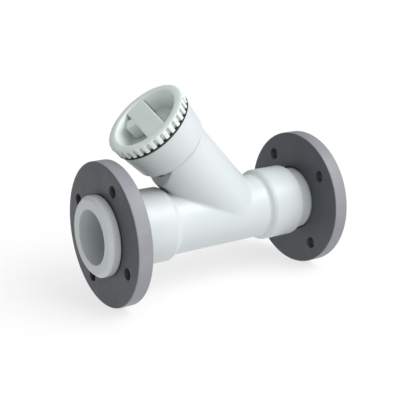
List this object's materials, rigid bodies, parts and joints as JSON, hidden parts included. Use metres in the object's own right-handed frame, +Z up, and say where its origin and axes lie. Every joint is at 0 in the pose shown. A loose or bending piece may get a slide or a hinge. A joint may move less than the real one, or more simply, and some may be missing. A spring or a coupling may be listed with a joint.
{
  "type": "basket strainer",
  "caption": "Plastic Y-pattern basket strainer for a pipeline, with loose backing flanges, a slanting cleaning branch, a toothed screw cap and a lift-out basket.",
  "frame": {"origin": "in the flanges' lowest plane, below the middle of the run", "axes": "+X along the run, from the outlet collar to the inlet collar; +Y across; +Z up, on the side that the branch leans out of"},
  "size_m": [0.314, 0.1648, 0.2404],
  "materials": {
    "body_plastic": "light grey moulded polypropylene, satin",
    "cap_plastic": "greenish light grey moulded polypropylene, satin",
    "flange_plastic": "dark blue-grey moulded plastic, fine matt grain",
    "gasket_rubber": "black rubber",
    "basket_plastic": "grey moulded polypropylene",
    "stainless_steel": "stainless steel sheet and woven wire"
  },
  "bodies": {
    "body": {"y_body": "body_plastic", "inlet_stub_end": "body_plastic", "outlet_stub_end": "body_plastic"},
    "inlet_flange": {"inlet_backing_flange": "flange_plastic"},
    "outlet_flange": {"outlet_backing_flange": "flange_plastic"},
    "basket": {"basket_seat_ring": "basket_plastic", "basket_tube": "stainless_steel", "basket_mesh": "stainless_steel", "basket_end_cap": "basket_plastic"},
    "gasket": {"cap_gasket": "gasket_rubber"},
    "cap": {"screw_cap": "cap_plastic"}
  },
  "joints": [
    {"name": "inlet_flange_swivel", "type": "hinge", "parent": "body", "child": "inlet_flange", "pos_m": [0.1347, 0, 0.0825], "axis": [1, 0, 0], "continuous": true},
    {"name": "outlet_flange_swivel", "type": "hinge", "parent": "body", "child": "outlet_flange", "pos_m": [-0.1347, 0, 0.0825], "axis": [-1, 0, 0], "continuous": true},
    {"name": "basket_draw", "type": "slide", "parent": "body", "child": "basket", "axis": [-0.6691, 0, 0.7431], "range_m": [0, 0.165]},
    {"name": "cap_lift", "type": "slide", "parent": "basket", "child": "gasket", "axis": [-0.6691, 0, 0.7431], "range_m": [0, 0.024]},
    {"name": "cap_unscrew", "type": "hinge", "parent": "gasket", "child": "cap", "pos_m": [0.0262, 0, 0.0825], "axis": [-0.6691, 0, 0.7431], "range_deg": [0, 1440]}
  ],
  "couplings": [
    {"joint": "cap_lift", "follows": "cap_unscrew", "m_per_rad": 0.00095493}
  ]
}
